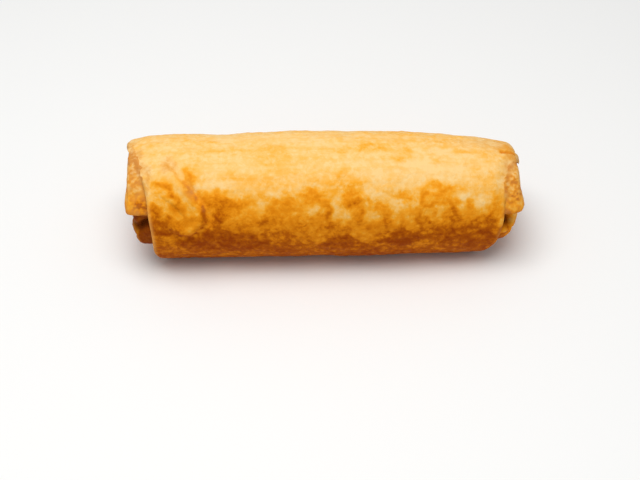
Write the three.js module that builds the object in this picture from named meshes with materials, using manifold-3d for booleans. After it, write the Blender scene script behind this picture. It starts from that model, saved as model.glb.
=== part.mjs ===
// A chimichanga: one large wheat tortilla, folded in at both sides, rolled up and fried.
// It lies on its flattened underside with its length along X. The side with the visible
// fold openings faces -Y, and +Z is up. Millimetres.
import * as THREE from "three";
import { mergeVertices } from "three/addons/utils/BufferGeometryUtils.js";
import Module from "manifold-3d";

const wasm = await Module();
wasm.setup();

// Driving dimensions.
const rollLength = 200; // over the folded ends
const rollWidth = 66.8; // front to back at the thickest place
const rollHeight = 59.6;
const sheetThickness = 2.2; // of the fried tortilla
const footSink = 3; // how much of the round section the flat underside takes away
const endPocketDepth = 9; // how far each end stays open round the folds inside it
const sectionSquareness = 2.15; // 2 is an ellipse
const crustColour = 0xd9892b;

const halfLength = rollLength / 2;
const degrees = Math.PI / 180;

// All angles run round the roll from the back (0) over the top (90) and the front (180) to
// the underside (270) and the loose edge of the sheet.
const looseEdgeAngle = 318; // the sheet's last edge, low at the back
const looseEdgeCurve = 45; // how much sooner that edge ends at the sides of the sheet
const levelAngle = 150; // where the winding sheet has the section's stated size

// How thick the roll is along its length, as a share of its thickest section.
const girthAlongLength = [
  [-1.0, 0.929],
  [-0.86, 0.975],
  [-0.55, 0.984],
  [-0.05, 1.0],
  [0.48, 0.967],
  [0.8, 0.914],
  [1.0, 0.857],
];

// Where the outer turn of the tortilla ends to the left and to the right, by the angle, as
// a share of the half length.
const leftEdge = [
  [-110, 0.8],
  [-42, 0.88],
  [0, 0.95],
  [40, 0.99],
  [64, 1.0],
  [80, 0.985],
  [96, 0.955],
  [124, 0.903],
  [160, 0.878],
  [205, 0.873],
  [235, 0.84],
  [318, 0.74],
];
const rightEdge = [
  [-110, 0.8],
  [-42, 0.88],
  [0, 0.955],
  [40, 0.99],
  [75, 1.0],
  [90, 0.99],
  [108, 0.941],
  [134, 0.914],
  [171, 0.898],
  [195, 0.876],
  [235, 0.81],
  [318, 0.74],
];

// The right end draws in over its last few millimetres, most of all at the top and back.
const rightDraw = {
  over: 5,
  by: 3.8,
  share: [
    [0, 1],
    [100, 1],
    [122, 0.4],
    [150, 0.15],
    [220, 0.6],
    [270, 1],
    [360, 1],
  ],
};

// A smooth curve through [x, y] pairs that are sorted by x, level beyond both ends.
function follow(pairs, x) {
  const last = pairs.length - 1;
  if (x <= pairs[0][0]) return pairs[0][1];
  if (x >= pairs[last][0]) return pairs[last][1];
  const rise = (i) => (pairs[i + 1][1] - pairs[i][1]) / (pairs[i + 1][0] - pairs[i][0]);
  const slope = (i) => {
    if (i === 0) return rise(0);
    if (i === last) return rise(last - 1);
    const before = pairs[i][0] - pairs[i - 1][0];
    const after = pairs[i + 1][0] - pairs[i][0];
    return (after * rise(i - 1) + before * rise(i)) / (before + after);
  };
  const i = pairs.findIndex((pair) => pair[0] > x) - 1;
  const step = pairs[i + 1][0] - pairs[i][0];
  const t = (x - pairs[i][0]) / step;
  const start = (2 * t ** 3 - 3 * t ** 2 + 1) * pairs[i][1] + (t ** 3 - 2 * t ** 2 + t) * step * slope(i);
  const end = (3 * t ** 2 - 2 * t ** 3) * pairs[i + 1][1] + (t ** 3 - t ** 2) * step * slope(i + 1);
  return start + end;
}

// How much the roll is drawn in at x, by the angle.
function drawnIn(x, angle) {
  const t = THREE.MathUtils.clamp((x - halfLength + rightDraw.over) / rightDraw.over, 0, 1);
  const share = follow(rightDraw.share, THREE.MathUtils.euclideanModulo(angle, 360));
  return rightDraw.by * share * (1 - Math.sqrt(1 - t * t));
}

// A point [y, z] of the roll's section at x, raised by lift from the stated size.
function sectionPoint(x, angle, lift) {
  const girth = follow(girthAlongLength, x / halfLength);
  const raised = lift - drawnIn(x, angle);
  const halfWidth = (rollWidth / 2) * girth + raised;
  const halfHeight = (rollHeight * girth + footSink) / 2 + raised;
  const middle = (rollHeight * girth - footSink) / 2;
  const c = Math.cos(angle * degrees);
  const s = Math.sin(angle * degrees);
  const y = halfWidth * Math.sign(c) * Math.abs(c) ** (2 / sectionSquareness);
  const z = middle + halfHeight * Math.sign(s) * Math.abs(s) ** (2 / sectionSquareness);
  return [y, z];
}

// The underside, flattened where it rests: a height is eased to the floor plane.
function restOnFloor(z, floor) {
  const ease = 1.5;
  const above = z - floor;
  if (above > ease) return z;
  if (above < -ease) return floor;
  return floor + (above + ease) ** 2 / (4 * ease);
}

// Joins rings of points (each an array of [x, y, z], all of one count) into a closed skin
// with a single point at each end, and returns it as a manifold solid.
function solidFromRings(rings, firstPole, lastPole) {
  const count = rings[0].length;
  const positions = [];
  for (const ring of rings) for (const point of ring) positions.push(...point);
  const first = rings.length * count;
  const last = first + 1;
  positions.push(...firstPole, ...lastPole);
  const index = [];
  for (let i = 0; i < rings.length - 1; i++) {
    for (let j = 0; j < count; j++) {
      const k = (j + 1) % count;
      const [a, b] = [i * count + j, i * count + k];
      const [c, d] = [a + count, b + count];
      index.push(a, b, d, a, d, c);
    }
  }
  const lastRing = (rings.length - 1) * count;
  for (let j = 0; j < count; j++) {
    const k = (j + 1) % count;
    index.push(first, k, j, last, lastRing + j, lastRing + k);
  }
  const geometry = new THREE.BufferGeometry();
  geometry.setAttribute("position", new THREE.Float32BufferAttribute(positions, 3));
  geometry.setIndex(index);
  return toManifold(geometry);
}

function toManifold(geometry) {
  const merged = mergeVertices(geometry, 1e-4);
  const solid = new wasm.Manifold(
    new wasm.Mesh({
      numProp: 3,
      vertProperties: new Float32Array(merged.attributes.position.array),
      triVerts: new Uint32Array(merged.index.array),
    }),
  );
  if (solid.volume() < 0) throw new Error("a skin is inside out");
  return solid;
}

// The outer turn with everything inside it. Going round to the loose edge the sheet winds
// out by its own thickness, so the loose edge stands as a step low at the back. Each end is
// a shallow pocket inside the sheet's edge.
function outerTurn() {
  const aroundCount = 80;
  const alongCount = 28;
  const stepRun = 0.05; // of a turn, in which the turn below the loose edge comes down to rest
  const ringPoint = (round, share, inset) => {
    const looseAngle = looseEdgeAngle - looseEdgeCurve * Math.abs(share) ** 2.2;
    const angle = looseAngle + 360 * (round - 1);
    const x = share * follow(share < 0 ? leftEdge : rightEdge, angle) * halfLength;
    const wound = (sheetThickness * (angle - levelAngle)) / 360;
    const [y, z] = sectionPoint(x, angle, wound - inset);
    const covered = sheetThickness * Math.max(0, 1 - round / stepRun);
    return [x, y, restOnFloor(z, inset + covered)];
  };
  const ring = (share, inset, shift) => {
    const points = [];
    for (let j = 0; j <= aroundCount; j++) {
      const [x, y, z] = ringPoint(j / aroundCount, share, inset);
      points.push([x + shift, y, z]);
    }
    return points;
  };
  const rings = [];
  const rimBevel = 0.6; // how much shorter the sheet's inner face is at its edge
  const pocketInset = 1.6 * sheetThickness; // of the pocket's wall at its bottom
  rings.push(ring(-1, pocketInset, endPocketDepth), ring(-1, sheetThickness, rimBevel));
  for (let i = 0; i <= alongCount; i++) {
    const share = -Math.cos((Math.PI * i) / alongCount); // closer together at the ends
    rings.push(ring(share, 0, 0));
  }
  rings.push(ring(1, sheetThickness, -rimBevel), ring(1, pocketInset, -endPocketDepth));
  const shortestEdge = 0.74 * halfLength; // of the sheet, at its loose edge
  const pole = [shortestEdge - endPocketDepth, 0, 0.42 * rollHeight];
  return solidFromRings(rings, [-pole[0], pole[1], pole[2]], pole);
}

// The folds that close each end: an upper one whose lip hangs over, and a curl tucked back
// under it, with a dark opening between them. Each is a lobe under the outer turn between
// the angles from and to, with a rounded rim. The lift is how it lies against the section,
// draw is how much shorter it is, and lean pushes the foot of its face outwards.
const endFolds = [
  {
    side: -1,
    reach: 99.2,
    rimRound: 3,
    lean: 0.04,
    from: -6,
    to: 155,
    poleHeight: 42,
    lift: [
      [0, -1.5],
      [50, -1.0],
      [118, -1.4],
      [150, -1.9],
    ],
    draw: [
      [0, 0.5],
      [40, 2],
      [90, 1.5],
      [125, 0],
      [160, 0],
    ],
  },
  {
    side: -1,
    reach: 96.4,
    rimRound: 5,
    lean: 0,
    from: 0,
    to: 360,
    poleHeight: 24,
    lift: [
      [0, -3],
      [90, -6],
      [150, -4.4],
      [180, -3.4],
      [196, -3.8],
      [210, -6],
      [230, -8],
      [270, -7],
      [310, -4],
      [360, -3],
    ],
    draw: [
      [0, 3],
      [60, 0.4],
      [183, 0.2],
      [199, 2],
      [216, 8.5],
      [300, 8.5],
      [360, 3],
    ],
  },
  {
    side: 1,
    reach: 98.7,
    rimRound: 4,
    lean: 0.06,
    from: -6,
    to: 158,
    poleHeight: 38,
    lift: [
      [0, -1.8],
      [75, -1.9],
      [100, -1.6],
      [143, -1.6],
      [160, -1.8],
    ],
    draw: [
      [0, 0.5],
      [40, 2],
      [90, 1.5],
      [125, 0],
      [160, 0],
    ],
  },
  {
    side: 1,
    reach: 98.5,
    rimRound: 5,
    lean: 0,
    from: 0,
    to: 360,
    poleHeight: 21,
    lift: [
      [0, -3],
      [90, -6],
      [150, -4.4],
      [180, -3.6],
      [205, -4],
      [220, -6],
      [240, -7],
      [270, -6],
      [310, -4],
      [360, -3],
    ],
    draw: [
      [0, 3],
      [60, 1],
      [175, 1],
      [193, 2.4],
      [205, 5.4],
      [216, 7.4],
      [235, 10],
      [300, 10],
      [360, 3],
    ],
  },
];

// One lobe, from inside the roll out to its reach along X.
function foldLobe({ side, reach, rimRound, lean, from, to, poleHeight, lift, draw }) {
  const inner = 62; // where it starts inside the roll
  const leanPivot = 0.75 * rollHeight; // the height that the lean leaves in place
  const whole = to - from === 360;
  const aroundCount = whole ? 48 : 30;
  const rimSteps = 4;
  const floor = sheetThickness + 0.4;
  const leanAt = (z) => lean * (leanPivot - z);
  const ring = (x, inset) => {
    const share = ((x - inner) / (reach - inner)) ** 3;
    const points = [];
    for (let j = 0; j < aroundCount; j++) {
      const angle = from + ((to - from) * j) / (whole ? aroundCount : aroundCount - 1);
      const [y, z] = sectionPoint(side * x, angle, follow(lift, angle) - inset);
      const rested = restOnFloor(z, floor);
      points.push([side * (x + share * (leanAt(rested) - follow(draw, angle))), y, rested]);
    }
    return side < 0 ? points.reverse() : points;
  };
  const rings = [ring(inner + 1, 8), ring(inner + 10, 0), ring(0.9 * reach, 0)]; // blunt where hidden
  for (let i = 0; i <= rimSteps; i++) {
    const turn = (90 * i * degrees) / rimSteps;
    rings.push(ring(reach - rimRound * (1 - Math.sin(turn)), rimRound * (1 - Math.cos(turn))));
  }
  const faceX = side * (reach + leanAt(poleHeight));
  return solidFromRings(rings, [side * inner, 0, poleHeight], [faceX, 0, poleHeight]);
}

// A manifold solid as a three.js geometry, with its lowest face on z = 0 and its box
// centred on X and Y.
function toGeometry(solid) {
  const mesh = solid.getMesh();
  const geometry = new THREE.BufferGeometry();
  geometry.setAttribute("position", new THREE.Float32BufferAttribute(mesh.vertProperties, 3));
  geometry.setIndex(new THREE.BufferAttribute(mesh.triVerts, 1));
  geometry.computeBoundingBox();
  const box = geometry.boundingBox;
  const centre = box.getCenter(new THREE.Vector3());
  geometry.translate(-centre.x, -centre.y, -box.min.z);
  geometry.computeVertexNormals();
  return geometry;
}

let roll = outerTurn();
for (const fold of endFolds) roll = roll.add(foldLobe(fold));

const crust = new THREE.MeshStandardMaterial({ color: crustColour, roughness: 0.5, metalness: 0 });
const chimichangaMesh = new THREE.Mesh(toGeometry(roll), crust);
chimichangaMesh.name = "chimichanga";

const chimichanga = new THREE.Group();
chimichanga.add(chimichangaMesh);

export default chimichanga;
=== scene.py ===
# A fried, rolled tortilla with folded ends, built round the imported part.
# Metres, +Z up. X runs along the roll and -Y is the side that the camera sees.
import math
import random

import bpy
import numpy as np
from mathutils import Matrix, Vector, noise


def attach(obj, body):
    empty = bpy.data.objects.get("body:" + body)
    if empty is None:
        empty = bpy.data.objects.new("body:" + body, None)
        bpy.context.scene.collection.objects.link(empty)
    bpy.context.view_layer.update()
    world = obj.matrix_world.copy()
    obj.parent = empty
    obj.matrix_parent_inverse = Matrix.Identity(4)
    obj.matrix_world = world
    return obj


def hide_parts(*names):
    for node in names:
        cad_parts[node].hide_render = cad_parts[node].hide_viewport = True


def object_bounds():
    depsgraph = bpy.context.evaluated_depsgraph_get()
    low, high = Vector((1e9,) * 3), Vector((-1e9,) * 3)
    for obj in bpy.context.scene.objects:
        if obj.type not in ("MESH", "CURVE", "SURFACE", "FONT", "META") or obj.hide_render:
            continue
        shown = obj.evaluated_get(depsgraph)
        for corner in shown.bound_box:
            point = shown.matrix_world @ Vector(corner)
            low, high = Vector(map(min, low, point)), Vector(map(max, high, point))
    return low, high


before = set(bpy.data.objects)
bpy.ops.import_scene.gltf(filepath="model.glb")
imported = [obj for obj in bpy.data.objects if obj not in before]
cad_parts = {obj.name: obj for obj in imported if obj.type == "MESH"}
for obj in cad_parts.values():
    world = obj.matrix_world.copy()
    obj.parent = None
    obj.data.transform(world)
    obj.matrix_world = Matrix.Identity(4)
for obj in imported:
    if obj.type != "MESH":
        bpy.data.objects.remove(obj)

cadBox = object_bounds()
mm = 0.001


# a smooth line through sorted (x, y) pairs, level beyond both ends
def smoothLine(pairs, x):
    px, py = np.array(pairs, float).T
    slope = np.gradient(py, px)
    x = np.clip(x, px[0], px[-1])
    i = np.clip(np.searchsorted(px, x, side="right") - 1, 0, len(px) - 2)
    step = px[i + 1] - px[i]
    t = (x - px[i]) / step
    start = (2 * t**3 - 3 * t**2 + 1) * py[i] + (t**3 - 2 * t**2 + t) * step * slope[i]
    end = (3 * t**2 - 2 * t**3) * py[i + 1] + (t**3 - t**2) * step * slope[i + 1]
    return start + end


def smoothStep(low, high, x):
    t = np.clip((x - low) / (high - low), 0, 1)
    return t * t * (3 - 2 * t)


# distance of each (u, v) to a line of points, how far along the line that is (0 to 1),
# and which side it is on (1 to the left of the line's direction, -1 to the right)
def lineDistance(u, v, line):
    line = np.array(line, float)
    best = np.full(len(u), np.inf)
    along = np.zeros(len(u))
    side = np.ones(len(u))
    count = len(line) - 1
    for i in range(count):
        a, b = line[i], line[i + 1]
        d = b - a
        t = np.clip(((u - a[0]) * d[0] + (v - a[1]) * d[1]) / (d @ d), 0, 1)
        du, dv = u - a[0] - t * d[0], v - a[1] - t * d[1]
        distance = np.hypot(du, dv)
        nearer = distance < best
        best = np.where(nearer, distance, best)
        along = np.where(nearer, (i + t) / count, along)
        side = np.where(nearer, np.where(d[0] * dv - d[1] * du > 0, 1, -1), side)
    return best, along, side


unevenness = {
    "grainShift": 17.3,      # keeps the seeds apart
    "grainFade": 0.8,        # how much weaker the finer octaves are
    "blisterShift": 11.7,
    "blisterRadius": 0.55,   # in cells
    "blisterPower": 1.5,     # how pointed they are
    "blisterStir": (7.3, 5.1, 6.7),    # scatters their heights
}


# noise from about -1 to 1 at each point; size is the grain's along X and across it
def grainAt(points, size, octaves, seed):
    along, across = size
    scaled = points / np.array([along, across, across]) + seed * unevenness["grainShift"]
    fade = unevenness["grainFade"]
    return np.array([noise.fractal(p, fade, 2, octaves) for p in scaled.tolist()])


# round blisters of uneven height, 0 to 1
def blistersAt(points, size, seed):
    spec = unevenness
    heights = np.empty(len(points))
    for i, p in enumerate((points / size + seed * spec["blisterShift"]).tolist()):
        distances, centres = noise.voronoi(p)
        stirred = [a * b for a, b in zip(centres[0], spec["blisterStir"])]
        rise = 0.5 + 0.5 * noise.noise(stirred)
        dome = max(0, 1 - (distances[0] / spec["blisterRadius"]) ** 2)
        heights[i] = dome ** spec["blisterPower"] * rise
    return heights


def clearSelection():
    if bpy.context.object and bpy.context.object.mode != "OBJECT":
        bpy.ops.object.mode_set(mode="OBJECT")
    bpy.ops.object.select_all(action="DESELECT")


def useOnly(piece):
    clearSelection()
    piece.select_set(True)
    bpy.context.view_layer.objects.active = piece


def applyModifier(piece, kind, **settings):
    useOnly(piece)
    modifier = piece.modifiers.new(kind.title(), kind)
    for name, value in settings.items():
        setattr(modifier, name, value)
    bpy.ops.object.modifier_apply(modifier=modifier.name)


def readPoints(mesh):
    points = np.empty(len(mesh.vertices) * 3)
    mesh.vertices.foreach_get("co", points)
    return points.reshape(-1, 3)


def writePoints(mesh, points):
    mesh.vertices.foreach_set("co", np.asarray(points, float).ravel())
    mesh.update()


def readNormals(mesh):
    normals = np.empty(len(mesh.vertices) * 3)
    mesh.vertex_normals.foreach_get("vector", normals)
    return normals.reshape(-1, 3)


# a tone that the crust's material reads: how browned (browning, with painted light and shade), flush (tan),
# a dark tone (painted shade, and dark speckles) or rim (a pale painted highlight)
def writeTone(mesh, name, values, most=1):
    layer = mesh.attributes.new(name, "FLOAT", "POINT")
    layer.data.foreach_set("value", np.clip(values, 0, most).astype(np.float32))


def selectFaces(mesh, wanted):
    bpy.context.tool_settings.mesh_select_mode = (False, False, True)
    mesh.vertices.foreach_set("select", [False] * len(mesh.vertices))
    mesh.edges.foreach_set("select", [False] * len(mesh.edges))
    mesh.polygons.foreach_set("select", [bool(wanted(face)) for face in mesh.polygons])


def turnOutwards(piece):
    useOnly(piece)
    bpy.ops.object.mode_set(mode="EDIT")
    bpy.ops.mesh.select_all(action="SELECT")
    bpy.ops.mesh.normals_make_consistent(inside=False)
    bpy.ops.object.mode_set(mode="OBJECT")


roll = {
    "halfLength": (cadBox[1].x - cadBox[0].x) / 2,
    "halfWidth": 32.75 * mm,
    "height": 59.4 * mm,
    "footSink": 3 * mm,      # what the flat underside takes off the round section
    "squareness": 2.15,      # 2 is an ellipse
    "sheet": 2.2 * mm,       # thickness of the fried tortilla
    "levelAngle": 150,       # where the winding sheet has the stated size, degrees
    "degree": 0.555 * mm,    # one degree round the section, as a length
    "restEase": 1.5 * mm,    # how softly it bends onto the floor
    # from the left end (-1) to the right end (1), and the section's share of its size
    "girth": ((-1, 0.947), (-0.87, 0.979), (-0.55, 0.984), (-0.05, 1), (0.48, 0.967), (0.8, 0.914),
              (1, 0.857)),
}


# half width, half height and middle height of the section at x
def sectionSize(x, lift):
    girth = smoothLine(roll["girth"], x / roll["halfLength"])
    full = roll["height"] * girth
    sink = roll["footSink"]
    return roll["halfWidth"] * girth + lift, (full + sink) / 2 + lift, (full - sink) / 2


# a point of the section; the angle runs from the back (0) over the top (90) to the front (180)
def sectionPoint(x, angle, lift):
    across, up, middle = sectionSize(x, lift)
    c = np.cos(np.radians(angle))
    s = np.sin(np.radians(angle))
    power = 2 / roll["squareness"]
    return across * np.sign(c) * np.abs(c) ** power, middle + up * np.sign(s) * np.abs(s) ** power


# the angle at which a point lies round the section
def angleOf(points):
    across, up, middle = sectionSize(points[:, 0], 0)
    power = roll["squareness"] / 2
    c = points[:, 1] / across
    s = (points[:, 2] - middle) / up
    return np.degrees(np.arctan2(np.sign(s) * np.abs(s) ** power, np.sign(c) * np.abs(c) ** power)) % 360


# heights eased onto a floor
def restOn(floor, z):
    ease = roll["restEase"]
    above = z - floor
    eased = floor + (above + ease) ** 2 / (4 * ease)
    return np.where(above > ease, z, np.where(above < -ease, floor, eased))


# how far the roll draws in towards its ends, and how much of that at each angle
endDraw = {
    "left": {"over": 1 * mm, "by": 0.3 * mm, "round": ((0, 1), (360, 1))},
    "right": {"over": 4.5 * mm, "by": 3.4 * mm,
              "round": ((0, 1), (100, 1), (122, 0.4), (150, 0.15), (220, 0.6), (270, 1), (360, 1))},
}


def endRound(x, angle):
    drawn = np.zeros_like(x)
    for side, sign in (("left", -1), ("right", 1)):
        spec = endDraw[side]
        t = np.clip((sign * x - (roll["halfLength"] - spec["over"])) / spec["over"], 0, 1)
        amount = spec["by"] * smoothLine(spec["round"], angle % 360)
        drawn -= amount * (1 - np.sqrt(np.maximum(0, 1 - t**2)))
    return drawn


# the outer turn is one sheet, made flat and then rolled up
outerTurn = {
    "flatWidth": 200 * mm,        # the sheet before it is trimmed and rolled
    "flatTurn": 237 * mm,
    "cellsAlong": 62,
    "cellsRound": 74,
    "cuts": 3,                    # of each cell on the side that shows
    "startAngle": -110,           # under the loose edge, degrees
    "looseAngle": 318,            # the tip of the loose edge, low at the back
    "looseCurve": 45,             # how much sooner it ends at the sides
    "loosePower": 2.2,            # higher bends only its corners
    "rimRound": 0.5 * mm,
    "rimReach": 1.6 * mm,         # how far in from an edge the sheet is rounded
    "calmEdge": {"over": 7 * mm, "share": 0.35},    # of the relief, at the side edges
    # the sheet thins towards the side edges where it lies on a fold, by the angle
    "feather": {"over": 8 * mm, "by": 1.3 * mm,
                "left": ((45, 0), (85, 1), (118, 1), (134, 0.5), (150, 0)),
                "right": ((45, 0), (85, 1), (143, 1), (160, 0.6), (178, 0))},
    "blisterBrowner": 0.08,
    # painted shade: a dark, broken line where the sheet lies on a fold
    "seam": {"width": 0.7 * mm, "dark": 0.5, "grain": (4 * mm, 4 * mm), "broken": (-0.45, 0.2)},
    # the sheet's inner face, painted dark as shade
    "inside": {"dark": 0.8, "over": 6 * mm},
    # a painted highlight along the sheet's edges at the front, by the angle
    "rim": {"width": 1.1 * mm, "from": (120, 165), "onRight": 0.3, "low": (190, 215), "lowLess": 0.5},
    # where the side edges lie: degrees, and share of the roll's half length
    "leftEdge": ((-110, 0.8), (-42, 0.88), (0, 0.95), (40, 0.99), (64, 1.003), (80, 0.992), (96, 0.957),
                 (110, 0.929), (124, 0.903), (137, 0.886), (160, 0.876), (180, 0.867), (205, 0.866),
                 (235, 0.84), (318, 0.74)),
    "rightEdge": ((-110, 0.8), (-42, 0.88), (0, 0.955), (40, 1.0), (75, 1.008), (90, 0.995), (98, 0.965),
                  (108, 0.941), (119, 0.926), (134, 0.914), (153, 0.903), (171, 0.898), (182, 0.888),
                  (195, 0.876), (212, 0.845), (235, 0.81), (318, 0.74)),
}

# relief of the crust; places are (mm along, degrees round)
relief = {
    "lumps": {"size": (42 * mm, 30 * mm), "height": 0.45 * mm},
    "dimples": {"size": (13 * mm, 11 * mm), "height": 0.25 * mm},
    # how blistered a place is
    "rough": {"size": (24 * mm, 20 * mm), "edge": (-0.4, 0.4), "smoothest": 0.3},
    "blisters": {"size": 6.5 * mm, "height": 0.5 * mm},
    "pimples": {"size": 3.1 * mm, "height": 0.28 * mm},
    # strongest on the top, between these angles
    "wrinkles": {"size": (26 * mm, 2.6 * mm), "height": 0.16 * mm, "least": 0.3,
                 "rising": (20, 60), "falling": (150, 110)},
    # how much browner a crease is paints shade into it
    "creases": (
        {"line": ((91, 87.5), (94, 86.5), (98, 84)), "width": 0.8 * mm, "depth": 1.5 * mm, "browner": 0.75},
        {"line": ((55, 95), (70, 93), (90.5, 88)), "width": 0.8 * mm, "depth": 0.35 * mm, "browner": 0.12},
        {"line": ((-52, 35), (-50, 80)), "width": 7 * mm, "depth": 0.55 * mm, "browner": 0},
        {"line": ((12.5, 35), (13.5, 78)), "width": 3.5 * mm, "depth": 0.4 * mm, "browner": 0},
        {"line": ((-92, 78), (-86, 128)), "width": 2.5 * mm, "depth": 0.3 * mm, "browner": 0},
    ),
}

# the corner of a fold below, showing through at the left: a crest with a step down outside it
hiddenFold = {
    "line": ((-84, 95), (-80, 105), (-77, 112), (-72, 123), (-68.5, 131), (-64.5, 141), (-61.5, 149),
             (-60, 155), (-59.5, 161), (-60.5, 167), (-63.5, 173), (-68, 178), (-72.5, 178), (-77, 172),
             (-81, 164)),
    "plain": (0.3, 0.85),          # the share of the line where the fold is plainest
    "width": 2.3 * mm,
    # places across the line, inwards from it, are in widths
    "crest": {"at": 1, "height": 0.9 * mm},
    "valley": {"at": -0.7, "depth": 0.9 * mm, "sharper": 1.6},
    "step": {"height": 0.9 * mm, "fade": (18 * mm, 6 * mm)},
    # paler inside the crest: partly paler browning, partly a painted highlight
    "paler": {"at": 1.3, "by": 0.3},
    # the browner, flushed line at the foot of the step: partly its tone, partly painted shade
    "crease": {"at": -0.5, "width": 1.1 * mm, "browner": 0.36, "flush": 0.45, "flushUpTo": (0.6, 0.4),
               "grain": (3 * mm, 3 * mm), "broken": (-0.5, 0.3)},
}
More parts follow.
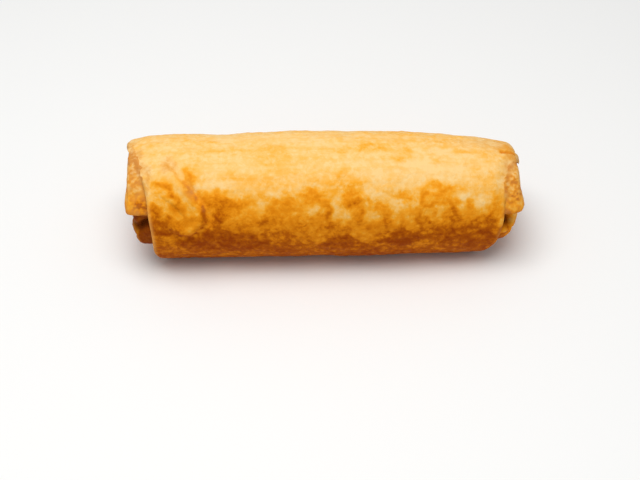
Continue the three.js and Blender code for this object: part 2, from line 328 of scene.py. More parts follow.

# browning of the crust by the angle round the roll, with darker and paler patches, partly painted light and
# shade
browningAndShade = {
    # by the angle: real browning, paler on top as painted light, darker low at the front and underneath as
    # painted shade
    "round": ((-110, 0.7), (-60, 0.85), (-25, 0.68), (0, 0.5), (22, 0.35), (50, 0.2), (90, 0.15),
              (118, 0.17), (130, 0.25), (141, 0.38), (152, 0.48), (166, 0.63), (180, 0.85), (192, 0.98),
              (205, 1.06), (235, 1.12), (270, 1.15), (318, 0.9)),
    "waver": {"size": (30 * mm, 20 * mm), "degrees": 9},
    "ragged": {"by": 3, "size": (7 * mm, 6 * mm)},    # mm that the patches' edges wander
    "most": 1.12,
    "patchEdge": (1.7, 0.3),       # where a patch starts and is full, in its half sizes
    "patchMost": 0.56,             # the most that patches on one another come to
    "patchEase": 0.42,             # how soon they come near it
    # mm along, degrees round, half length and half width in mm, how much
    # most patches are the crust's own mottling; a few low at the front and at the right end's corners are
    # painted shade
    "patches": (
        (-80, 129, 5, 1.6, 0.26), (-77, 135, 2, 3, 0.26), (-75, 143, 2, 4, 0.24), (-72.5, 152, 2.6, 4, 0.16),
        (-85, 151, 3.5, 3.5, 0.34), (-82, 161, 6, 2, 0.22), (-83, 170, 5, 5, 0.12), (-79, 176, 4, 3, 0.2),
        (-87, 142, 2, 4, -0.12), (-70, 158, 4, 5, -0.06), (-66, 173, 5, 3, -0.16), (-67, 117, 4, 4, 0.14),
        (-67, 127, 3, 5, 0.3), (-55, 142, 9, 3.5, 0.3), (-47, 149, 9, 4, 0.26), (-53, 160, 4, 4, 0.34),
        (-60, 152, 2.3, 3.5, 0.28), (-54, 130, 9, 2.5, -0.14), (-56, 120, 4, 3, -0.06),
        (-37, 151, 3.5, 2, -0.16), (-31, 154, 3, 3, -0.2), (-36, 160, 4, 2, -0.12), (-34, 172, 5, 3, -0.16),
        (-25, 139, 4, 2, -0.16), (-28, 162, 7, 4, 0.14), (-21, 149, 5, 3.5, 0.16), (-8, 141, 4, 3, 0.26),
        (-15, 152, 5, 2.5, 0.08), (-4, 156, 3, 2, -0.18), (-8, 165, 9, 3, 0.12), (-12, 133, 7, 2.5, -0.08),
        (-62, 184, 6, 4, 0.26), (-48, 187, 13, 5, 0.32), (-36, 186, 4, 4, 0.2), (-72, 186, 4, 3, 0.1),
        (14, 144, 5, 5, 0.26), (2.5, 157, 3, 6, 0.2), (14, 151, 2.5, 2.5, 0.2), (6, 147, 2, 3.5, -0.16),
        (24, 141, 5, 2, -0.22), (24, 163, 3, 4, -0.24), (8, 163, 4, 4.5, -0.28), (19, 158, 2, 3, 0.16),
        (27, 151, 4, 2.5, 0.14), (8, 190, 9, 5, 0.3), (36, 150, 2, 2, -0.12), (39, 143, 3.5, 2.5, 0.2),
        (49, 143, 1.5, 4, 0.24), (37, 155, 3, 2.5, -0.18), (43, 168, 3, 4, -0.16), (36, 163, 3, 2, -0.12),
        (40, 185, 9, 4, 0.34), (30, 166, 2, 4, 0.12), (54, 150, 4, 1.6, 0.26), (59, 133, 8, 1.8, 0.2),
        (58, 141, 7, 2.5, 0.14), (64, 150, 4, 3, 0.26), (66, 156, 2.5, 2, 0.24), (54, 165, 2, 2.5, 0.26),
        (63, 163, 3, 3, 0.26), (68, 168, 3, 3, 0.2), (57, 182, 6, 3, 0.2), (70, 143, 4, 2, -0.2),
        (79, 145, 3.5, 4, -0.16), (74, 147, 1.5, 3.5, 0.2), (82, 164, 4, 3, 0.34), (86, 155, 3, 5, 0.19),
        (47, 161, 2, 3, 0.16), (75, 169, 3, 2.5, 0.16), (73, 180, 13, 9, 0.22), (80, 185, 8, 5, 0.08),
        (89, 168, 1.5, 4, -0.2), (88, 207, 5, 6, 0.15), (83, 122, 4, 9, 0.06), (81, 112, 4, 4, -0.12),
        (24, 92, 7, 3, 0.1), (40, 101, 4.5, 4, 0.12), (10, 94, 7, 3, 0.07), (57, 103, 4, 2, 0.08),
        (-28, 105, 5, 2, 0.08), (-24, 95, 14, 3, 0.06), (62, 75, 7, 4, 0.1), (80, 95, 14, 1.5, 0.08),
        (55, 115, 11, 6, -0.08), (60, 92, 5, 2, -0.12), (-14, 97, 3, 3, -0.1), (20, 120, 8, 4, -0.06),
        (-62, 186, 6, 3, 0.14), (6, 193, 7, 3, 0.14), (28, 186, 4, 2.5, 0.15), (38, 185, 5, 4, 0.14),
        (48, 171, 4, 4, 0.18), (-82, 168, 5, 3.5, 0.15), (-72, 168, 4, 4, 0.15), (-53, 162, 3, 3, 0.14),
        (-3, 145, 3, 3, 0.12), (-2, 184, 5, 3.5, -0.18), (18, 181, 5, 4, -0.18), (27, 177, 5, 2.5, -0.14),
        (-42, 153, 3, 3, -0.14), (28, 146, 4, 3, -0.12), (-42, 135, 12, 3, -0.09), (-7, 136, 8, 3, -0.09),
        (33, 170, 2.5, 3, -0.15), (59, 174, 5, 4, 0.14), (39, 188, 4, 3, 0.14), (13, 194, 6, 3, 0.14),
        (-55, 168, 6, 6, 0.2), (-60.5, 185, 4, 4, 0.14), (96, 84, 4, 6, 0.16), (75, 117, 3, 3, 0.1),
        (-50, 95, 12, 3, 0.05), (-45, 115, 8, 3, -0.05), (-60, 80, 14, 3, 0.05), (-91, 147, 1.8, 4, 0.4),
        (-57, 187, 8, 4, 0.35),
    ),
    "flush": (
        (-78, 108, 3, 4, 0.35), (-67, 131, 3, 4, 0.4), (95, 78, 6, 8, 0.2), (98, 93, 2, 4, 0.35),
        (-98, 82, 2, 8, 0.5), (88, 64, 11, 7, 0.22), (-95, 96, 2, 5, 0.55), (-91, 108, 2, 4, 0.5),
        (-88.5, 122, 1.4, 5, 0.6), (-87.5, 133, 1, 2, 0.6), (80, 80, 14, 4, 0.14), (94, 100, 3, 5, 0.35),
        (91.5, 118, 1.6, 9, 0.22), (90.5, 146, 1.5, 6, 0.15), (97, 88, 3, 7, 0.2), (95, 150, 5, 4, -0.2),
        (-91, 147, 1.8, 4, -0.5), (-96, 143, 2.5, 5, -0.4), (-96.5, 104, 2.5, 4, -0.25),
        (-95, 114, 2, 3, 0.2),
    ),
    # brown speckles on the end folds
    "spotted": ((95, 131, 4, 7, 0.7), (95, 118, 3, 4, 0.3), (-92, 148, 3, 3, 0.35), (-95, 118, 4, 8, 0.2)),
}


# patches with soft edges, drawn out of shape by the two shifts
def patchSum(x, angle, patches, shiftAlong, shiftRound):
    total = np.zeros(len(x))
    for along, degrees, length, width, much in patches:
        u = (x / mm - along + shiftAlong) / length
        v = ((angle - degrees) * roll["degree"] / mm + shiftRound) / width
        total += much * smoothStep(*browningAndShade["patchEdge"], np.hypot(u, v))
    return browningAndShade["patchMost"] * np.tanh(total / browningAndShade["patchEase"])


# the back, which browned like the front
backBrowning = {
    "seed": 7,
    "count": 34,
    # ranges of the place and the half sizes, as above, and how much
    "ranges": ((-90, 90), (-70, 42), (3, 9), (2.5, 5)),
    "much": (0.3, 0.24, -0.16),
}
chance = random.Random(backBrowning["seed"])


def backPatch():
    place = [chance.uniform(low, high) for low, high in backBrowning["ranges"]]
    return (*place, chance.choice(backBrowning["much"]))


backPatches = tuple(backPatch() for _ in range(backBrowning["count"]))


# distance to the inside of the hidden fold's edge, how plain the fold is there, and the share
# of the edge's line
def foldPlace(x, angle):
    line = [(u * mm, v * roll["degree"]) for u, v in hiddenFold["line"]]
    distance, along, side = lineDistance(x, angle * roll["degree"], line)
    first, last = hiddenFold["plain"]
    plain = smoothStep(0, first, along) * (1 - smoothStep(last, 1, along))
    return side * distance, plain, along


# 1 in the middle of a crease, 0 away from it
def creaseAt(x, angle, crease):
    line = [(u * mm, v * roll["degree"]) for u, v in crease["line"]]
    distance, _, _ = lineDistance(x, angle * roll["degree"], line)
    return np.exp(-((distance / crease["width"]) ** 2))


def crustRelief(points, x, angle):
    height = np.zeros(len(points))
    for seed, name in ((1, "lumps"), (2, "dimples")):
        height += relief[name]["height"] * grainAt(points, relief[name]["size"], 2, seed)
    smoothest = relief["rough"]["smoothest"]
    rough = smoothStep(*relief["rough"]["edge"], grainAt(points, relief["rough"]["size"], 1, 3))
    rough = smoothest + (1 - smoothest) * rough
    for seed, name in ((4, "blisters"), (5, "pimples")):
        height += relief[name]["height"] * rough * blistersAt(points, relief[name]["size"], seed)
    wrinkles = relief["wrinkles"]
    onTop = smoothStep(*wrinkles["rising"], angle) * smoothStep(*wrinkles["falling"], angle)
    ridged = 1 - 2 * np.abs(grainAt(points, wrinkles["size"], 1, 6))
    height += wrinkles["height"] * (wrinkles["least"] + (1 - wrinkles["least"]) * onTop) * ridged
    fold = hiddenFold
    inside, plain, _ = foldPlace(x, angle)
    inWidths = inside / fold["width"]
    crest, valley, step = fold["crest"], fold["valley"], fold["step"]
    height += plain * crest["height"] * np.exp(-((inWidths - crest["at"]) ** 2))
    height -= plain * valley["depth"] * np.exp(-((inWidths - valley["at"]) ** 2) * valley["sharper"])
    height += plain * step["height"] * smoothStep(-1, 1, inWidths) * smoothStep(*step["fade"], inside)
    for crease in relief["creases"]:
        height -= crease["depth"] * creaseAt(x, angle, crease)
    return height


def brownTones(points, x, angle):
    waver = browningAndShade["waver"]
    shifted = angle + waver["degrees"] * grainAt(points, waver["size"], 3, 7)
    ragged = browningAndShade["ragged"]
    shifts = [ragged["by"] * grainAt(points, ragged["size"], 3, seed) for seed in (9, 10)]
    brownAndShade = smoothLine(browningAndShade["round"], shifted)
    brownAndShade += patchSum(x, angle, browningAndShade["patches"] + backPatches, *shifts)
    for crease in relief["creases"]:
        brownAndShade += crease["browner"] * creaseAt(x, angle, crease)
    flush = patchSum(x, angle, browningAndShade["flush"], *shifts)
    fold = hiddenFold
    inside, plain, along = foldPlace(x, angle)
    # the crest paler, partly as a painted highlight, and the crease line darker, partly as painted shade
    paler, crease = fold["paler"], fold["crease"]
    brownAndShade -= plain * paler["by"] * np.exp(-((inside / fold["width"] - paler["at"]) ** 2))
    inCrease = plain * np.exp(-((inside / crease["width"] - crease["at"]) ** 2))
    inCrease *= smoothStep(*crease["broken"], grainAt(points, crease["grain"], 1, 15))
    brownAndShade += crease["browner"] * inCrease
    flush += crease["flush"] * inCrease * smoothStep(*crease["flushUpTo"], along)
    return brownAndShade, flush


def makeFlatSheet():
    spec = outerTurn
    clearSelection()
    cells = {"x_subdivisions": spec["cellsAlong"], "y_subdivisions": spec["cellsRound"]}
    bpy.ops.mesh.primitive_grid_add(size=1, **cells)
    sheet = bpy.context.object
    sheet.name = "outerTurn"
    bpy.ops.object.mode_set(mode="EDIT")
    bpy.ops.mesh.select_all(action="SELECT")
    bpy.ops.transform.resize(value=(spec["flatWidth"], spec["flatTurn"], 1))
    bpy.ops.mesh.extrude_region_move(TRANSFORM_OT_translate={"value": (0, 0, roll["sheet"])})
    bpy.ops.object.mode_set(mode="OBJECT")
    turnOutwards(sheet)
    selectFaces(sheet.data, lambda face: face.normal.z > -0.5)
    bpy.ops.object.mode_set(mode="EDIT")
    bpy.ops.mesh.subdivide(number_cuts=spec["cuts"])
    bpy.ops.object.mode_set(mode="OBJECT")
    return sheet


# the sheet's edges rounded while it is flat
def roundRim(flat):
    spec = outerTurn
    toSide = spec["flatWidth"] / 2 - np.abs(flat[:, 0])
    toLoose = spec["flatTurn"] / 2 - flat[:, 1]
    closeness = np.clip(1 - np.minimum(toSide, toLoose) / spec["rimReach"], 0, 1) ** 2
    level = flat[:, 2] / roll["sheet"] - 0.5
    bulge = spec["rimRound"] * (1 - 4 * level**2)
    flat[:, 0] += np.where(toSide < 1e-6, np.sign(flat[:, 0]) * bulge, 0)
    flat[:, 1] += np.where(toLoose < 1e-6, bulge, 0)
    flat[:, 2] -= level * 2 * spec["rimRound"] * closeness
    return flat, toSide, toLoose


def rollUp(sheet):
    spec = outerTurn
    flat, toSide, toLoose = roundRim(readPoints(sheet.data))
    share = flat[:, 0] / (spec["flatWidth"] / 2)
    turn = flat[:, 1] / spec["flatTurn"] + 0.5
    depth = roll["sheet"] - flat[:, 2]
    lastAngle = spec["looseAngle"] - spec["looseCurve"] * np.abs(share) ** spec["loosePower"]
    angle = spec["startAngle"] + (lastAngle - spec["startAngle"]) * turn
    edge = np.where(share < 0, smoothLine(spec["leftEdge"], angle), smoothLine(spec["rightEdge"], angle))
    x = share * edge * roll["halfLength"]
    wound = roll["sheet"] * (angle - roll["levelAngle"]) / 360
    onTop = 1 - np.clip(depth / roll["sheet"], 0, 1)
    y, z = sectionPoint(x, angle, wound)
    nominal = np.stack([x, y, z], axis=1)
    feather = spec["feather"]
    thin = np.where(share < 0, smoothLine(feather["left"], angle), smoothLine(feather["right"], angle))
    thinned = feather["by"] * smoothStep(feather["over"], 0, toSide) * thin
    calm = spec["calmEdge"]
    full = calm["share"] + (1 - calm["share"]) * smoothStep(0, calm["over"], toSide)
    rise = crustRelief(nominal, x, angle) * full
    lift = wound - depth + endRound(x, angle) + onTop * (rise - thinned)
    y, z = sectionPoint(x, angle, lift)
    covered = angle < spec["looseAngle"] - 360
    z = restOn(depth + np.where(covered, roll["sheet"], 0), z)
    writePoints(sheet.data, np.stack([x, y, z], axis=1))
    turnOutwards(sheet)
    brownAndShade, flush = brownTones(nominal, x, angle)
    brownAndShade += spec["blisterBrowner"] * rise / relief["blisters"]["height"]
    writeTone(sheet.data, "brownAndShade", brownAndShade, browningAndShade["most"])
    writeTone(sheet.data, "flush", flush)
    # painted shade along the side edges where the sheet lies on a fold, and on the sheet's inner face
    seam = spec["seam"]
    dark = seam["dark"] * np.exp(-((toSide / seam["width"]) ** 2)) * thin
    dark *= smoothStep(*seam["broken"], grainAt(nominal, seam["grain"], 1, 8))
    inside = spec["inside"]
    dark += inside["dark"] * (1 - onTop) * smoothStep(0, inside["over"], toSide)
    writeTone(sheet.data, "shadeAndSpeckles", dark)
    # a painted highlight along the edges at the front, less of it low down and on the right
    rim = spec["rim"]
    rimHighlight = np.exp(-((np.minimum(toSide, toLoose) / rim["width"]) ** 2)) * smoothStep(*rim["from"], angle)
    rimHighlight *= np.where(x > 0, rim["onRight"], 1) * (1 - rim["lowLess"] * smoothStep(*rim["low"], angle))
    writeTone(sheet.data, "rim", rimHighlight)


sheet = makeFlatSheet()
rollUp(sheet)
print("outer turn rolled up:", len(sheet.data.polygons), "faces")


# the folds that close each end: an upper one that hangs over a curl tucked in below it
endFolds = {
    "segments": 96,
    "rings": 64,
    "voxel": 0.55 * mm,
    "smoothing": {"factor": 0.5, "iterations": 6},
    "overSheet": 0.4 * mm,         # gap to the sheet that they rest on
    "middle": 0.45,                # of the height, where a lobe narrows to
    "leanAt": 0.75,                # of the height, where leaning changes nothing
    "flareOver": (10 * mm, 2 * mm),    # above the lip
    "left": {
        "side": -1,
        "upper": {"reach": 99 * mm, "inner": 62 * mm, "bluntness": 24, "lean": 0.03,
                  "draw": ((0, 0), (360, 0)),
                  "lift": ((0, -1.5), (50, -1), (80, -1.1), (118, -1.4), (150, -1.9), (200, -2.6),
                           (270, -3), (360, -1.5)),
                  "lip": {"front": (-27, 38.4), "back": (22, 25), "round": 0.7 * mm, "flare": 0.9 * mm}},
        "lower": {"reach": 96.9 * mm, "inner": 62 * mm, "bluntness": 9, "lean": 0,
                  "draw": ((0, 3), (60, 0), (140, 0.8), (165, 0.4), (183, 0), (192, 0.7), (199, 2),
                           (206, 5.5), (216, 8.5), (300, 8.5), (360, 3)),
                  "lift": ((0, -3), (90, -6), (150, -4.4), (180, -3.4), (196, -3.8), (210, -6), (230, -8),
                           (270, -7), (310, -4), (360, -3))},
        # pits in the curl, painted dark as shade
        "dents": (
            {"line": ((-86, 167), (-90, 169), (-94, 174)),
             "width": 2.4 * mm, "depth": 4.4 * mm, "dark": 1.1},
        ),
        "bumps": (),
        "curlRim": {"height": 0.4 * mm, "paler": 0.8},
        # a browner curl below the lip: partly browning, partly painted shade
        "curlBrownAndShade": 0.6,
        # darker close under the lip: painted shade
        "underLipShade": 1.2,           # how much browner it is close under the lip
        # painted shade on the front of the tucked curl
        "tuckShade": 0.5,
        # painted shade along the seam where the upper fold comes out of the sheet
        "seamShade": 0.45,
        "flush": 0.48,
    },
    "right": {
        "side": 1,
        "upper": {"reach": 98.9 * mm, "inner": 62 * mm, "bluntness": 16, "lean": 0.06,
                  "draw": ((0, 0), (360, 0)),
                  "lift": ((0, -1.8), (75, -1.9), (100, -1.6), (143, -1.6), (160, -1.8), (200, -2.6),
                           (270, -3), (360, -1.8)),
                  "lip": {"front": (-25, 33.3), "back": (20, 23), "round": 2.2 * mm, "flare": 1.6 * mm}},
        "lower": {"reach": 99.9 * mm, "inner": 62 * mm, "bluntness": 6, "lean": 0,
                  "draw": ((0, 3), (60, 0.5), (140, 2.2), (175, 1.9), (184, 2.1), (193, 3.2), (205, 6),
                           (216, 8), (235, 10), (300, 10), (360, 3)),
                  "lift": ((0, -3), (90, -6), (150, -4.4), (180, -3.6), (205, -4), (220, -6), (240, -7),
                           (270, -6), (310, -4), (360, -3))},
        # pits in the curl, painted dark as shade
        "dents": (
            {"line": ((88.5, 166), (92, 169), (93.5, 173), (93.6, 178)),
             "width": 2.2 * mm, "depth": 4.4 * mm, "dark": 1},
        ),
        "bumps": (
            {"at": (91.8, 185), "size": 1.7 * mm, "height": 1.4 * mm, "paler": 0.5},
        ),
        "curlRim": {"height": 0.8 * mm, "paler": 0.3},
        "curlBrownAndShade": 0,
        "underLipShade": 0.1,
        "tuckShade": 0,
        "seamShade": 0.2,
        "flush": 0.36,
    },
}


# height of the lip that the upper fold hangs down to, from its front to its back
def lipHeight(lip, y):
    (y0, z0), (y1, z1) = lip["front"], lip["back"]
    return (z0 + (y / mm - y0) * (z1 - z0) / (y1 - y0)) * mm


# how far along X a lobe reaches at each angle
def reachAt(spec, angle):
    return spec["reach"] - smoothLine(spec["draw"], angle) * mm


# a closed lobe under the outer turn: a sphere drawn out along X to the section's shape
def makeLobe(name, side, spec):
    clearSelection()
    cells = {"segments": endFolds["segments"], "ring_count": endFolds["rings"]}
    bpy.ops.mesh.primitive_uv_sphere_add(radius=1, rotation=(0, math.pi / 2, 0), **cells)
    lobe = bpy.context.object
    lobe.name = name
    bpy.ops.object.transform_apply(location=False, rotation=True, scale=False)
    ball = readPoints(lobe.data)
    out = np.clip(ball[:, 0] * side, -1, 1)
    size = np.sqrt(1 - out**2) ** (2 / spec["bluntness"])
    middle = (spec["reach"] + spec["inner"]) / 2
    span = (spec["reach"] - spec["inner"]) / 2
    share = 0.5 + 0.5 * np.sign(out) * np.abs(out) ** (2 / spec["bluntness"])
    angle = np.degrees(np.arctan2(ball[:, 2], ball[:, 1])) % 360
    drawn = spec["reach"] - reachAt(spec, angle)
    x = side * (middle + span * (2 * share - 1) - drawn * share**3)
    lift = smoothLine(spec["lift"], angle) * mm + endRound(x, angle)
    y, z = sectionPoint(x, angle, lift)
    z = restOn(roll["sheet"] + endFolds["overSheet"], z)
    centre = endFolds["middle"] * roll["height"]
    z = centre + (z - centre) * size
    x += side * spec["lean"] * share**3 * (endFolds["leanAt"] * roll["height"] - z)
    if "lip" in spec:
        lip = spec["lip"]
        overLip = z - lipHeight(lip, y)
        low = np.clip(1 - overLip / lip["round"], 0, 1)
        flared = lip["flare"] * smoothStep(*endFolds["flareOver"], overLip)
        x += side * (flared - lip["round"] * (1 - np.sqrt(1 - low**2))) * share**3
    writePoints(lobe.data, np.stack([x, y * size, z], axis=1))
    turnOutwards(lobe)
    return lobe


# takes away what is below the lip
def cutAtLip(lobe, side, lip):
    (y0, z0), (y1, z1) = lip["front"], lip["back"]
    normal = Vector((side, 0, 0)).cross(Vector((0, y1 - y0, z1 - z0))).normalized()
    if normal.z > 0:
        normal = -normal
    front = (side * roll["halfLength"], y0 * mm, z0 * mm)
    useOnly(lobe)
    bpy.ops.object.mode_set(mode="EDIT")
    bpy.ops.mesh.select_all(action="SELECT")
    bpy.ops.mesh.bisect(plane_co=front, plane_no=normal, use_fill=True, clear_outer=True)
    bpy.ops.object.mode_set(mode="OBJECT")


def makeEndFolds(name, spec):
    upper = makeLobe(name, spec["side"], spec["upper"])
    cutAtLip(upper, spec["side"], spec["upper"]["lip"])
    lower = makeLobe(name + "Lower", spec["side"], spec["lower"])
    useOnly(upper)
    lower.select_set(True)
    bpy.ops.object.join()
    applyModifier(upper, "REMESH", mode="VOXEL", voxel_size=endFolds["voxel"], use_smooth_shade=True)
    applyModifier(upper, "SMOOTH", **endFolds["smoothing"])
    return upper


# relief of the end faces; places are (mm to the back, mm up)
faceRelief = {
    "bulge": {"height": 1.2 * mm, "middle": 28 * mm, "halfWidth": 26 * mm, "halfHeight": 30 * mm},
    "facing": (0.5, 0.9),          # how far a face looks along X
    "creases": (
        {"line": ((-6, 53), (-17, 47), (-27, 39)), "width": 1.5 * mm, "depth": 0.9 * mm},
        {"line": ((6, 54), (16, 46), (22, 36), (25, 27)), "width": 1.5 * mm, "depth": 0.9 * mm},
        {"line": ((-3, 48), (1, 40), (-2, 33)), "width": 1.3 * mm, "depth": 0.4 * mm},
        {"line": ((-25, 24), (-14, 15), (0, 12), (13, 16), (22, 24)), "width": 1.1 * mm, "depth": 0.8 * mm},
        {"line": ((-16, 28), (-9, 22), (0, 20), (8, 23)), "width": 1.2 * mm, "depth": 0.5 * mm},
    ),
}


def endFaceRelief(points, facing):
    y, z = points[:, 1], points[:, 2]
    bulge = faceRelief["bulge"]
    up = (z - bulge["middle"]) / bulge["halfHeight"]
    height = bulge["height"] * (1 - (y / bulge["halfWidth"]) ** 2 - up**2)
    for crease in faceRelief["creases"]:
        distance, _, _ = lineDistance(y, z, np.array(crease["line"]) * mm)
        height -= crease["depth"] * np.exp(-((distance / crease["width"]) ** 2))
    return height * smoothStep(*faceRelief["facing"], facing)


# the crust of the end folds
foldCrust = {
    "lumps": {"size": (9 * mm, 9 * mm), "height": 0.35 * mm},
    "blisters": {"size": 4.2 * mm, "height": 0.5 * mm, "upperPaler": 0.12, "lowerPaler": 0.1},
    "pimples": {"size": 2.3 * mm, "height": 0.28 * mm},
    "frontSide": (-12 * mm, -18 * mm),    # Y from which a place counts as the front
    # the curl's browning includes painted shade
    "curlBack": 0.4,                      # share of its browning away from the front
    "lipBlend": 2 * mm,
    # browner just above the lip's edge: painted shade where the fold curls under
    "lipEdgeShade": {"over": (3.5 * mm, 1 * mm), "browner": 0.2},
    # the height under the lip over which painted shade comes in
    "underLipShade": (-9 * mm, -3 * mm),
    "rim": {"inner": (4 * mm, 2 * mm), "outer": (-2 * mm, 0)},
    "speckle": {"size": (2 * mm, 2 * mm), "edge": (-0.3, 0.6), "browner": 0.2, "flush": 0.25,
                "dark": 0.22},
    "upperBrowner": 0.02,
    # the seam's flush and darkening paint shade along the fold's edge
    "seam": {"width": 1.3 * mm, "flush": 0.2, "darkFrom": (70, 150)},
    "flushSide": (10 * mm, -5 * mm),      # Y over which the flush comes in
}


def finishFolds(folds, spec):
    mesh = folds.data
    side = spec["side"]
    look = foldCrust
    points = readPoints(mesh)
    normals = readNormals(mesh)
    x, y, z = points.T
    angle = angleOf(points)
    blisters = blistersAt(points, look["blisters"]["size"], 12)
    pimples = blistersAt(points, look["pimples"]["size"], 13)
    rise = look["lumps"]["height"] * grainAt(points, look["lumps"]["size"], 2, 11)
    rise += look["blisters"]["height"] * blisters + look["pimples"]["height"] * pimples
    rise += endFaceRelief(points, normals[:, 0] * side)
    brownAndShade, flush = brownTones(points, x, angle)

    # the curl below the lip, with its rim, pits painted dark as shade, and bumps; browner under the lip,
    # partly as painted shade
    overLip = z - lipHeight(spec["upper"]["lip"], y)
    below = smoothStep(0, -look["lipBlend"], overLip)
    above = 1 - below
    frontSide = smoothStep(*look["frontSide"], y)
    fromEnd = reachAt(spec["lower"], angle) - np.abs(x)
    rim = smoothStep(*look["rim"]["inner"], fromEnd) * smoothStep(*look["rim"]["outer"], fromEnd)
    rim *= frontSide * below
    rise += spec["curlRim"]["height"] * rim
    shadeAndSpeckles = np.zeros(len(points))
    for dent in spec["dents"]:
        dip = below * creaseAt(x, angle, dent)
        rise -= dent["depth"] * dip
        shadeAndSpeckles += dent["dark"] * dip
    for bump in spec["bumps"]:
        along, degrees = bump["at"]
        distance = np.hypot(x - along * mm, (angle - degrees) * roll["degree"])
        dome = below * np.exp(-((distance / bump["size"]) ** 2))
        rise += bump["height"] * dome
        brownAndShade -= bump["paler"] * dome
    writePoints(mesh, points + normals * rise[:, None])
    brownAndShade += below * spec["curlBrownAndShade"] * (look["curlBack"] + (1 - look["curlBack"]) * frontSide)
    brownAndShade += below * spec["underLipShade"] * smoothStep(*look["underLipShade"], overLip)
    brownAndShade -= below * look["blisters"]["lowerPaler"] * blisters + spec["curlRim"]["paler"] * rim
    shadeAndSpeckles += spec["tuckShade"] * below * frontSide

    # the upper fold, speckled, with painted shade along the seam where it comes out of the sheet and just
    # above the lip
    speckle = look["speckle"]
    speckles = smoothStep(*speckle["edge"], grainAt(points, speckle["size"], 2, 14))
    spotted = patchSum(x, angle, browningAndShade["spotted"], 0, 0)
    edge = smoothLine(outerTurn["leftEdge" if side < 0 else "rightEdge"], angle) * roll["halfLength"]
    seam = np.exp(-(((np.abs(x) - edge) / look["seam"]["width"]) ** 2))
    brownAndShade += above * (look["upperBrowner"] + (speckle["browner"] + spotted) * speckles)
    brownAndShade -= above * look["blisters"]["upperPaler"] * blisters
    brownAndShade += above * look["lipEdgeShade"]["browner"] * smoothStep(*look["lipEdgeShade"]["over"], overLip)
    flushed = spec["flush"] + speckle["flush"] * speckles + look["seam"]["flush"] * seam
    flush += above * flushed * smoothStep(*look["flushSide"], y)
    shadeAndSpeckles += above * speckle["dark"] * spotted * speckles
    shadeAndSpeckles += above * spec["seamShade"] * seam * smoothStep(*look["seam"]["darkFrom"], angle)

    writeTone(mesh, "brownAndShade", brownAndShade, browningAndShade["most"])
    writeTone(mesh, "flush", flush)
    writeTone(mesh, "shadeAndSpeckles", shadeAndSpeckles)
    writeTone(mesh, "rim", np.zeros(len(points)))


leftFolds = makeEndFolds("leftFolds", endFolds["left"])
rightFolds = makeEndFolds("rightFolds", endFolds["right"])
finishFolds(leftFolds, endFolds["left"])
finishFolds(rightFolds, endFolds["right"])
print("end folds:", len(leftFolds.data.polygons), "and", len(rightFolds.data.polygons), "faces")


crustLook = {
    # how browned, with painted light and shade in it, and the colour for that
    "browningAndShade": (                # how browned, and its colour
        (0.08, (0.87, 0.58, 0.235, 1)),
        (0.30, (0.87, 0.465, 0.1, 1)),
        (0.46, (0.86, 0.37, 0.028, 1)),
        (0.62, (0.82, 0.29, 0.010, 1)),
        (0.82, (0.70, 0.215, 0.004, 1)),
        (1.02, (0.48, 0.115, 0.0015, 1)),
        (1.24, (0.31, 0.052, 0.001, 1)),
    ),
    "fullyBrowned": 1.3,
    "flushColour": (0.64, 0.26, 0.052, 1),
    # painted shade, also used for the dark speckles
    "shadeAndSpeckleColour": (0.16, 0.03, 0.002, 1),
    # the colour of the painted highlight along the sheet's edges
    "rimHighlightColour": (0.86, 0.42, 0.10, 1),
    # scale per metre, detail and distortion
    "patches": (70, 3, 0.6),
    "mottle": (260, 3, 0.8),
    "freckles": (620, 2, 0.3),
    "streaks": (260, 2, 0.2),
    "streakSquash": (0.12, 1, 1),    # drawn out along X
    "noiseRoughness": 0.6,
    # a net of soft cells, bent by a swirl
    "net": {"scale": 290, "smoothness": 0.6, "middle": 0.45, "swirl": 180, "bend": 3 * mm},
    # how much of each goes into the browning
    "grain": {"patches": 0.6, "net": 0.6, "mottle": 1, "freckles": 0.9},
    "streaked": 0.3,
    "darkest": 0.26,         # how far the grain darkens
    "strength": (0.26, 0.44),    # of the grain where pale, and how much it grows with browning
    "calm": {"from": 0.8, "to": 1.15, "share": 0.7},    # less grain where most browned
    "flush": (0.85, 1.5),    # its strength, and how much the grain changes that
    # how strong the painted highlight along the sheet's edges is
    "rim": 0.6,
    "gloss": 0.02,
    "roughness": (0.46, 0.35),    # and how much the mottle changes it
    "bump": {"strength": 0.65, "distance": 0.8 * mm,
             "height": {"net": -0.35, "mottle": 0.8, "freckles": 0.35, "streaks": 0.15}},
}


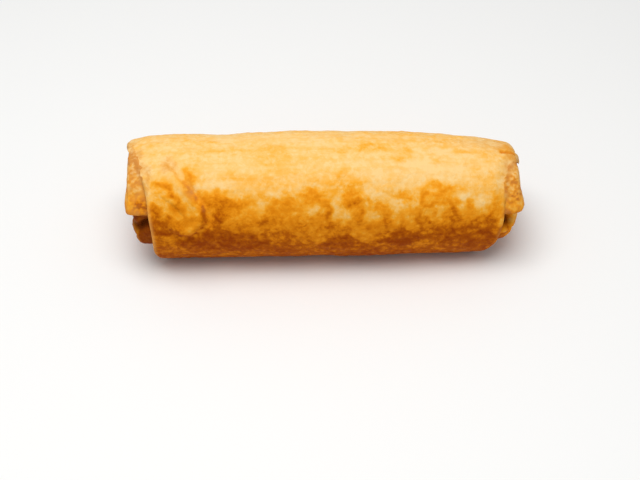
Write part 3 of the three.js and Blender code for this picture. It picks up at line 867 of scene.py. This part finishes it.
def friedCrust():
    look = crustLook
    material = bpy.data.materials.new("friedCrust")
    material.use_nodes = True
    tree = material.node_tree
    shader = tree.nodes["Principled BSDF"]

    def add(kind, **settings):
        node = tree.nodes.new(kind)
        for name, value in settings.items():
            setattr(node, name, value)
        return node

    def tone(name):
        return add("ShaderNodeAttribute", attribute_name=name).outputs["Fac"]

    def calculate(operation, first, second, third=None):
        node = add("ShaderNodeMath", operation=operation)
        for slot, value in enumerate((first, second, third)):
            if value is None:
                continue
            if isinstance(value, (int, float)):
                node.inputs[slot].default_value = value
            else:
                tree.links.new(value, node.inputs[slot])
        return node.outputs[0]

    def sumOf(*shares):
        total = None
        for value, weight in shares:
            total = calculate("MULTIPLY_ADD", value, weight, total if total is not None else 0)
        return total

    def noiseOf(name, vector):
        node = add("ShaderNodeTexNoise")
        scale, detail, distortion = look[name]
        node.inputs["Scale"].default_value = scale
        node.inputs["Detail"].default_value = detail
        node.inputs["Roughness"].default_value = look["noiseRoughness"]
        node.inputs["Distortion"].default_value = distortion
        tree.links.new(vector, node.inputs["Vector"])
        return calculate("SUBTRACT", node.outputs["Fac"], 0.5)

    def netOf(net, vector):
        swirl = add("ShaderNodeTexNoise")
        swirl.inputs["Scale"].default_value = net["swirl"]
        tree.links.new(vector, swirl.inputs["Vector"])
        bent = add("ShaderNodeVectorMath", operation="MULTIPLY_ADD")
        bent.inputs[1].default_value = (net["bend"],) * 3
        tree.links.new(swirl.outputs["Color"], bent.inputs[0])
        tree.links.new(vector, bent.inputs[2])
        cells = add("ShaderNodeTexVoronoi", feature="SMOOTH_F1")
        cells.inputs["Scale"].default_value = net["scale"]
        cells.inputs["Smoothness"].default_value = net["smoothness"]
        tree.links.new(bent.outputs["Vector"], cells.inputs["Vector"])
        return calculate("SUBTRACT", cells.outputs["Distance"], net["middle"])

    def blendTo(below, colour, amount):
        node = add("ShaderNodeMix", data_type="RGBA")
        node.inputs["B"].default_value = colour
        tree.links.new(below, node.inputs["A"])
        tree.links.new(amount, node.inputs["Factor"])
        return node.outputs["Result"]

    place = add("ShaderNodeTexCoord").outputs["Object"]
    squashed = add("ShaderNodeMapping")
    squashed.inputs["Scale"].default_value = look["streakSquash"]
    tree.links.new(place, squashed.inputs["Vector"])
    layers = {name: noiseOf(name, place) for name in ("patches", "mottle", "freckles")}
    layers["streaks"] = noiseOf("streaks", squashed.outputs["Vector"])
    layers["net"] = netOf(look["net"], place)

    # the grain, stronger where browned, but calmer again where most browned
    brownAndShade = tone("brownAndShade")
    weakest, growth = look["strength"]
    calm = add("ShaderNodeMapRange", interpolation_type="SMOOTHSTEP")
    calm.inputs["From Min"].default_value = look["calm"]["from"]
    calm.inputs["From Max"].default_value = look["calm"]["to"]
    calm.inputs["To Min"].default_value = 1
    calm.inputs["To Max"].default_value = look["calm"]["share"]
    tree.links.new(brownAndShade, calm.inputs["Value"])
    strength = calculate("MULTIPLY_ADD", brownAndShade, growth, weakest)
    strength = calculate("MULTIPLY", strength, calm.outputs["Result"])
    grain = sumOf(*((layers[name], weight) for name, weight in look["grain"].items()))
    grain = calculate("SMOOTH_MIN", grain, look["darkest"], look["darkest"])
    brownAndShade = calculate("MULTIPLY_ADD", grain, strength, brownAndShade)
    brownAndShade = calculate("MULTIPLY_ADD", layers["streaks"], look["streaked"], brownAndShade)

    ramp = add("ShaderNodeValToRGB")
    stops = ramp.color_ramp.elements
    for index, (position, colour) in enumerate(look["browningAndShade"]):
        stop = stops[index] if index < 2 else stops.new(1)
        stop.position = position / look["fullyBrowned"]
        stop.color = colour
    tree.links.new(calculate("DIVIDE", brownAndShade, look["fullyBrowned"]), ramp.inputs["Fac"])
    flush, flushGrain = look["flush"]
    flushed = calculate("MULTIPLY", tone("flush"), calculate("MULTIPLY_ADD", grain, flushGrain, flush))
    colour = blendTo(ramp.outputs["Color"], look["flushColour"], flushed)
    # the pale rim is a painted highlight; the dark tone is painted shade, with dark speckles
    colour = blendTo(colour, look["rimHighlightColour"], calculate("MULTIPLY", tone("rim"), look["rim"]))
    colour = blendTo(colour, look["shadeAndSpeckleColour"], tone("shadeAndSpeckles"))
    tree.links.new(colour, shader.inputs["Base Color"])

    shader.inputs["Specular IOR Level"].default_value = look["gloss"]
    rough, roughMottle = look["roughness"]
    roughness = calculate("MULTIPLY_ADD", layers["mottle"], roughMottle, rough)
    tree.links.new(roughness, shader.inputs["Roughness"])
    bump = add("ShaderNodeBump")
    bump.inputs["Strength"].default_value = look["bump"]["strength"]
    bump.inputs["Distance"].default_value = look["bump"]["distance"]
    height = sumOf(*((layers[name], weight) for name, weight in look["bump"]["height"].items()))
    tree.links.new(height, bump.inputs["Height"])
    tree.links.new(bump.outputs["Normal"], shader.inputs["Normal"])
    return material


crust = friedCrust()
for piece in (sheet, leftFolds, rightFolds):
    piece.data.materials.clear()
    piece.data.materials.append(crust)
    useOnly(piece)
    bpy.ops.object.shade_smooth()
    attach(piece, "root")
    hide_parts("chimichanga")
print("crust browned")


studio = {
    "floorSize": 6,
    "floorColour": (0.86, 0.86, 0.85, 1),
    "floorRoughness": 0.6,
    "world": (1, 1, 1, 1),
    "worldStrength": 0.42,
    "key": {"at": (-0.1, -0.12, 1.0), "size": (0.9, 0.7), "watts": 9, "aim": (0, 0, 0.03)},
}


def makeFloor():
    clearSelection()
    bpy.ops.mesh.primitive_plane_add(size=studio["floorSize"])
    floor = bpy.context.object
    floor.name = "floor"
    material = bpy.data.materials.new("paleFloor")
    material.use_nodes = True
    shader = material.node_tree.nodes["Principled BSDF"]
    shader.inputs["Base Color"].default_value = studio["floorColour"]
    shader.inputs["Roughness"].default_value = studio["floorRoughness"]
    floor.data.materials.append(material)


def makeLights():
    world = bpy.data.worlds.new("studio")
    world.use_nodes = True
    background = world.node_tree.nodes["Background"]
    background.inputs["Color"].default_value = studio["world"]
    background.inputs["Strength"].default_value = studio["worldStrength"]
    bpy.context.scene.world = world
    key = studio["key"]
    turned = (Vector(key["aim"]) - Vector(key["at"])).to_track_quat("-Z", "Y").to_euler()
    bpy.ops.object.light_add(type="AREA", location=key["at"], rotation=turned)
    light = bpy.context.object.data
    light.shape = "RECTANGLE"
    light.size, light.size_y = key["size"]
    light.energy = key["watts"]


cameraSpec = {
    "elevation": 43,             # degrees
    "yaw": 1.46,                 # the left end is a little nearer
    "distance": 648 * mm,
    "lens": 70,
    "sensor": 36,
    "aimHeight": 30 * mm,
    "centreRight": 1.8 * mm,     # where the roll's middle is in the view, from its centre
    "centreUp": 26.3 * mm,
}


def makeCamera():
    spec = cameraSpec
    rise = math.radians(spec["elevation"])
    yaw = math.radians(spec["yaw"])
    forward = Vector((math.sin(yaw) * math.cos(rise), math.cos(yaw) * math.cos(rise), -math.sin(rise)))
    right = Vector((math.cos(yaw), -math.sin(yaw), 0))
    up = right.cross(forward)
    middle = Vector((0, 0, spec["aimHeight"]))
    place = middle - spec["centreRight"] * right - spec["centreUp"] * up - spec["distance"] * forward
    bpy.ops.object.camera_add(location=place, rotation=(math.pi / 2 - rise, 0, -yaw))
    camera = bpy.context.object
    camera.data.lens = spec["lens"]
    camera.data.sensor_width = spec["sensor"]
    camera.data.clip_start = 10 * mm
    bpy.context.scene.camera = camera


makeFloor()
makeLights()
makeCamera()
bpy.context.scene.view_settings.view_transform = "Standard"
print("studio ready")
